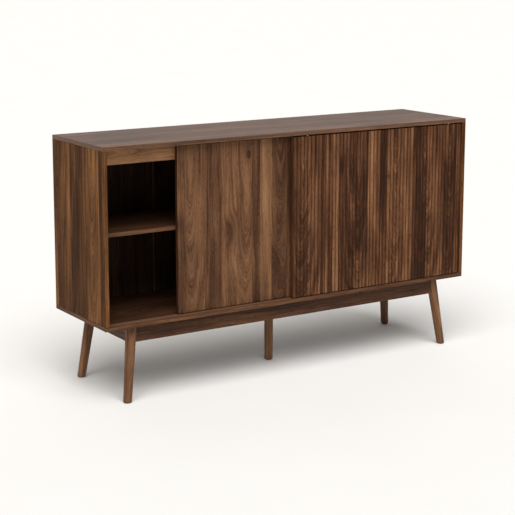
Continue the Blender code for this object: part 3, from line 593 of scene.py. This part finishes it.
# Raw hardboard: pressed wood fibre, with flecks about 3 mm long lying every way.
fleck = add_node(tree, "TexNoise", {"Vector": where.outputs["Object"], "Scale": 420.0, "Detail": 4.0,
                                    "Roughness": 0.7})
patch = add_node(tree, "TexNoise", {"Vector": where.outputs["Object"], "Scale": 5.0, "Detail": 3.0})
blend = add_node(tree, "Mix", {"Factor": 0.18, 2: fleck.outputs["Fac"], 3: patch.outputs["Fac"]})
raw = add_node(tree, "ValToRGB", {"Fac": blend.outputs[0]})
set_ramp(raw, [(0.35, linear("6B4A33")), (0.5, linear("7F5D41")), (0.65, linear("927051"))])
colour = add_node(tree, "Mix", {"Factor": bare, 6: printed, 7: raw.outputs["Color"]},
                  data_type="RGBA")
rough = add_node(tree, "Mix", {"Factor": bare, 2: print_rough, 3: 0.75})
bump = add_node(tree, "Bump", {"Height": fleck.outputs["Fac"], "Strength": 0.3, "Distance": 0.0001})
tree.links.new(colour.outputs[2], shader.inputs["Base Color"])
tree.links.new(rough.outputs[0], shader.inputs["Roughness"])
tree.links.new(bump.outputs["Normal"], shader.inputs["Normal"])
give(board, "left_back_panel", "right_back_panel")


# ---------------------------------------------------------------- tracks and shelf pins
# Extruded brown PVC tracks pressed into the bottom and top panels, and zinc-plated pins that
# push into holes in the side panels and the divider to carry the shelves.
pvc, tree, shader = new_material("brown_pvc_track", IOR=1.5)
where = add_node(tree, "TexCoord")
drawn = add_node(tree, "Mapping", {"Vector": where.outputs["Object"], "Scale": (4.0, 900.0, 900.0)})
line = add_node(tree, "TexNoise", {"Vector": drawn, "Scale": 1.0, "Detail": 2.0})
shade = add_node(tree, "ValToRGB", {"Fac": line.outputs["Fac"]})
set_ramp(shade, [(0.3, linear("5E4230")), (0.7, linear("7A5A43"))])
rough = add_node(tree, "MapRange", {"Value": line.outputs["Fac"], "To Min": 0.35, "To Max": 0.55})
bump = add_node(tree, "Bump", {"Height": line.outputs["Fac"], "Strength": 0.2, "Distance": 0.0001})
tree.links.new(shade.outputs["Color"], shader.inputs["Base Color"])
tree.links.new(rough.outputs["Result"], shader.inputs["Roughness"])
tree.links.new(bump.outputs["Normal"], shader.inputs["Normal"])
give(pvc, "lower_track", "upper_track")

pin_radius, pin_outside, pin_round, root_chamfer = 0.0025, 0.008, 0.001, 0.0006
collar_radius, collar_thick, collar_chamfer = 0.0040, 0.0010, 0.0003
for hand in ("left", "right"):
    for where_y in ("front", "back"):
        for end in ("inner", "outer"):
            node = f"{hand}_shelf_pin_{where_y}_{end}"
            low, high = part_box(node)
            inward = 1.0 if (hand == "left") == (end == "outer") else -1.0
            tip_x, root_x = (high.x, low.x) if inward > 0 else (low.x, high.x)
            wall_x = tip_x - inward * pin_outside
            root = (root_x - wall_x) * inward
            middle = (wall_x, (low.y + high.y) / 2, (low.z + high.z) / 2)
            profile = [(0.0, root), (pin_radius - root_chamfer, root),
                       (pin_radius, root + root_chamfer), (pin_radius, 0.0),
                       (collar_radius - 0.0001, 0.0), (collar_radius, collar_chamfer),
                       (collar_radius, collar_thick - collar_chamfer),
                       (collar_radius - collar_chamfer, collar_thick), (pin_radius, collar_thick),
                       *arc(pin_radius - pin_round, pin_outside - pin_round, pin_round, 0.0, 90.0),
                       (0.0, pin_outside)]
            pin = turned(node + "_turned", profile, middle, (inward, 0, 0), zinc)
            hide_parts(node)


# ---------------------------------------------------------------- plain door
# The rear door: 15 mm board in the same foil, matched in upright strips with arched figure,
# and edges banded all round. Its rollers sit in pockets milled into the lower edge.
flat_planks = [(0.035, 0.46, straight, 0.03), (0.075, 0.62, -0.02, 0.03), (0.070, 0.42, -straight, 0.03),
               (0.065, 0.62, 0.04, 0.03), (0.065, 0.58, 0.008, 0.032), (0.035, 0.32, straight, 0.03),
               (0.050, 0.70, straight, 0.03), (0.065, 0.42, 0.0, 0.035), (0.035, 0.32, straight, 0.03),
               (0.070, 0.56, -straight, 0.03), (0.060, 0.44, 0.0, 0.032), (0.080, 0.62, straight, 0.03),
               (0.050, 0.36, 0.02, 0.03), (0.050, 0.56, straight, 0.03)]
# Its banded edges take a tone far below its faces: painted shade for the shade on its left edge beside the
# side panel.
give(foil_board("flat_door_panel", "Z", flat_planks,
                [(-0.285, 0.565, 0.05), (-0.205, 0.84, 0.025), (-0.49, 0.61, 0.03), (-0.09, 0.42, 0.05)],
                band_tone_and_shade=0.12), "flat_door_panel")


# ---------------------------------------------------------------- fluted door
# The front door: an 18 mm board with fifty upright ribs moulded into its face, and the foil
# pressed over them, close in the coves. Its ends are sawn square. The coves carry painted
# shade, the crests a faint painted highlight, and the ends a dark painted shade.
def fluted_door(name, low, high, ribs, depth, power, pockets, material, steps=16):
    """A ribbed board. Across rib u of each pitch the face stands at depth * (1 - sin(pi u)^power)
    behind the crests, so ribs are round and coves are sharp.

    The face and back are carried up the door, and its two sides close them. The lower and
    upper ends are strips from face to back, open where a pocket (left, right, front, back,
    floor height) goes in, and each pocket is four walls and a floor.
    """
    pitch = (high.x - low.x) / ribs
    columns = np.linspace(low.x, high.x, ribs * steps + 1)
    marks = [x for pocket in pockets for x in pocket[:2]]
    columns = np.unique(np.concatenate((columns, marks)).round(7))
    rib = np.abs(np.sin(np.pi * (columns - low.x) / pitch))
    face = low.y + depth * (1.0 - rib ** power)
    half_way = (high.z + low.z) / 2
    points, quads = [], []

    def add_grid(grid, keep=None):
        """Adds the quads of a grid of points, or those whose place in keep is true."""
        rows, count = grid.shape[:2]
        corner = np.arange(rows * count).reshape(rows, count) + sum(len(p) for p in points)
        made = np.stack((corner[:-1, :-1], corner[:-1, 1:], corner[1:, 1:], corner[1:, :-1]), axis=-1)
        quads.append(made[keep] if keep is not None else made.reshape(-1, 4))
        points.append(grid.reshape(-1, 3))

    def lay(x, y, z):
        """Points from three arrays that are stretched to the same shape."""
        return np.stack(np.broadcast_arrays(x, y, z), axis=-1).astype(float)

    heights = np.array((low.z, high.z))[:, None]
    add_grid(lay(columns[None], face[None], heights))
    add_grid(lay(columns[None], high.y, heights))
    middles = (columns[1:] + columns[:-1]) / 2
    end_rows = []
    for end_z in (low.z, high.z):
        strips = np.ones((3, len(middles)), bool)
        for left, right, front, back, floor in pockets:
            if (floor < half_way) == (end_z < half_way):
                strips[1] &= (middles < left) | (middles > right)
                run = columns[(columns > left - 1e-6) & (columns < right + 1e-6)]
                levels = np.array((end_z, floor))[:, None]
                add_grid(lay(run[None], front, levels))
                add_grid(lay(run[None], back, levels))
                add_grid(lay(run[None], np.array((front, back))[:, None], floor))
                for x in (left, right):
                    add_grid(lay(x, np.array((front, back))[None], levels))
                inner_rows = np.full_like(face, front), np.full_like(face, back)
        rows = np.stack((face, *inner_rows, np.full_like(face, high.y)))
        add_grid(lay(columns[None], rows, end_z), strips)
        end_rows.append(rows)
    for column in (0, -1):
        add_grid(lay(columns[column], np.stack(end_rows)[:, :, column], heights))
    points, quads = np.concatenate(points), np.concatenate(quads)
    return close_piece(name, points, quads, points, material, "fluted_door", 28.0)


fluted_planks = [(0.062, 0.46, 0.01, 0.03), (0.060, 0.56, -0.03, 0.03), (0.015, 0.36, straight, 0.03),
                 (0.040, 0.58, straight, 0.03), (0.030, 0.76, straight, 0.03), (0.070, 0.36, 0.03, 0.03),
                 (0.065, 0.38, -0.01, 0.03), (0.055, 0.62, straight, 0.03), (0.035, 0.22, straight, 0.03),
                 (0.085, 0.54, 0.0, 0.032), (0.045, 0.64, straight, 0.03), (0.070, 0.24, 0.02, 0.03),
                 (0.080, 0.56, -0.03, 0.03), (0.065, 0.32, 0.0, 0.03), (0.028, 0.50, straight, 0.03)]
# The same print in a redder, darker batch.
red_walnut = ("321D12", "462B1B", "613F2A", "7B5438", "936949")
low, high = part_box("fluted_door_panel")
pocket_gap = 0.0003
pockets = []
for end in ("left", "right"):
    for fitting in ("roller_housing", "guide"):
        near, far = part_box(f"fluted_door_{end}_{fitting}")
        floor_z = far.z + pocket_gap if fitting == "roller_housing" else near.z - pocket_gap
        pockets.append((near.x - pocket_gap, far.x + pocket_gap, near.y - pocket_gap,
                        far.y + pocket_gap, floor_z))
ribbed_foil = foil_board("fluted_door_panel", "Z", fluted_planks,
                         [(0.20, 0.77, 0.03), (0.42, 0.71, 0.02), (0.57, 0.53, 0.04), (0.44, 0.36, 0.03)],
                         palette=red_walnut, contrast=1.5)
# Painted shade: the colour darkens from the crests into the coves, where shade falls, and the
# crests are lifted a little as a painted highlight.
# The foil stops at the sawn ends, whose dark brown colour is painted shade for the dark gaps
# above and below the door.
crest_end, cove_start, crest_painted_highlight, cove_painted_shade = 0.0004, 0.0035, 1.06, 0.58
tree = ribbed_foil.node_tree
shader = tree.nodes["Principled BSDF"]
figure = shader.inputs["Base Color"].links[0].from_socket
axes = add_node(tree, "SeparateXYZ", {"Vector": add_node(tree, "TexCoord").outputs["Object"]})
cove_shade_scale = add_node(tree, "MapRange", {"Value": axes.outputs["Y"], "From Min": low.y + crest_end,
                                    "From Max": low.y + cove_start, "To Min": crest_painted_highlight,
                                    "To Max": cove_painted_shade})
painted_cove_shade = add_node(tree, "VectorMath", {0: figure, 1: cove_shade_scale}, operation="MULTIPLY")
facing = add_node(tree, "SeparateXYZ", {"Vector": add_node(tree, "TexCoord").outputs["Normal"]})
upright = add_node(tree, "Math", {0: facing.outputs["Z"]}, operation="ABSOLUTE")
sawn = add_node(tree, "Math", {0: upright, 1: square_on}, operation="GREATER_THAN")
# Dark brown on the end faces: painted shade for the gaps at the door's top and bottom.
painted_end_shade = add_node(tree, "Mix", {"Factor": sawn, 6: painted_cove_shade, 7: linear("1C120C")}, data_type="RGBA")
tree.links.new(painted_end_shade.outputs[2], shader.inputs["Base Color"])
ribs, rib_depth, roundness = 50, 0.004, 0.7
ribbed_door = fluted_door("fluted_door_ribbed_board", low, high, ribs, rib_depth, roundness,
                          pockets, ribbed_foil)
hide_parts("fluted_door_panel")


# ---------------------------------------------------------------- door fittings
# Under each door two black nylon wheels turn on their own stub axles in moulded housings, and
# the round pins of two white guides run in the upper track. All sit in milled pockets.
nylon = moulded("black_nylon", "17171A", 0.42, 0.0005)
white_nylon = moulded("white_nylon", "F2F0EA", 0.42, 0.0005)
stub_radius, half, rim_round, web = 0.0015, 0.002, 0.0006, 0.6
hub_share, web_inner, web_outer, rim_share = 0.35, 0.42, 0.72, 0.80
for door in ("flat_door", "fluted_door"):
    for end in ("left", "right"):
        give(nylon, f"{door}_{end}_roller_housing")
        give(white_nylon, f"{door}_{end}_guide")
        node = f"{door}_{end}_wheel"
        low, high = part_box(node)
        middle = (low + high) / 2
        radius, tip = (high.x - low.x) / 2, (high.y - low.y) / 2
        profile = [(0.0, -tip), (stub_radius, -tip), (stub_radius, -half),
                   (radius * hub_share, -half), (radius * web_inner, -half * web),
                   (radius * web_outer, -half * web), (radius * rim_share, -half),
                   *arc(radius - rim_round, -half + rim_round, rim_round, -90.0, 0.0),
                   *arc(radius - rim_round, half - rim_round, rim_round, 0.0, 90.0),
                   (radius * rim_share, half), (radius * web_outer, half * web),
                   (radius * web_inner, half * web), (radius * hub_share, half),
                   (stub_radius, half), (stub_radius, tip), (0.0, tip)]
        wheel = turned(node + "_turned", profile, middle, (0, 1, 0), nylon, f"{door}_{end}_roller", 48)
        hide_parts(node)
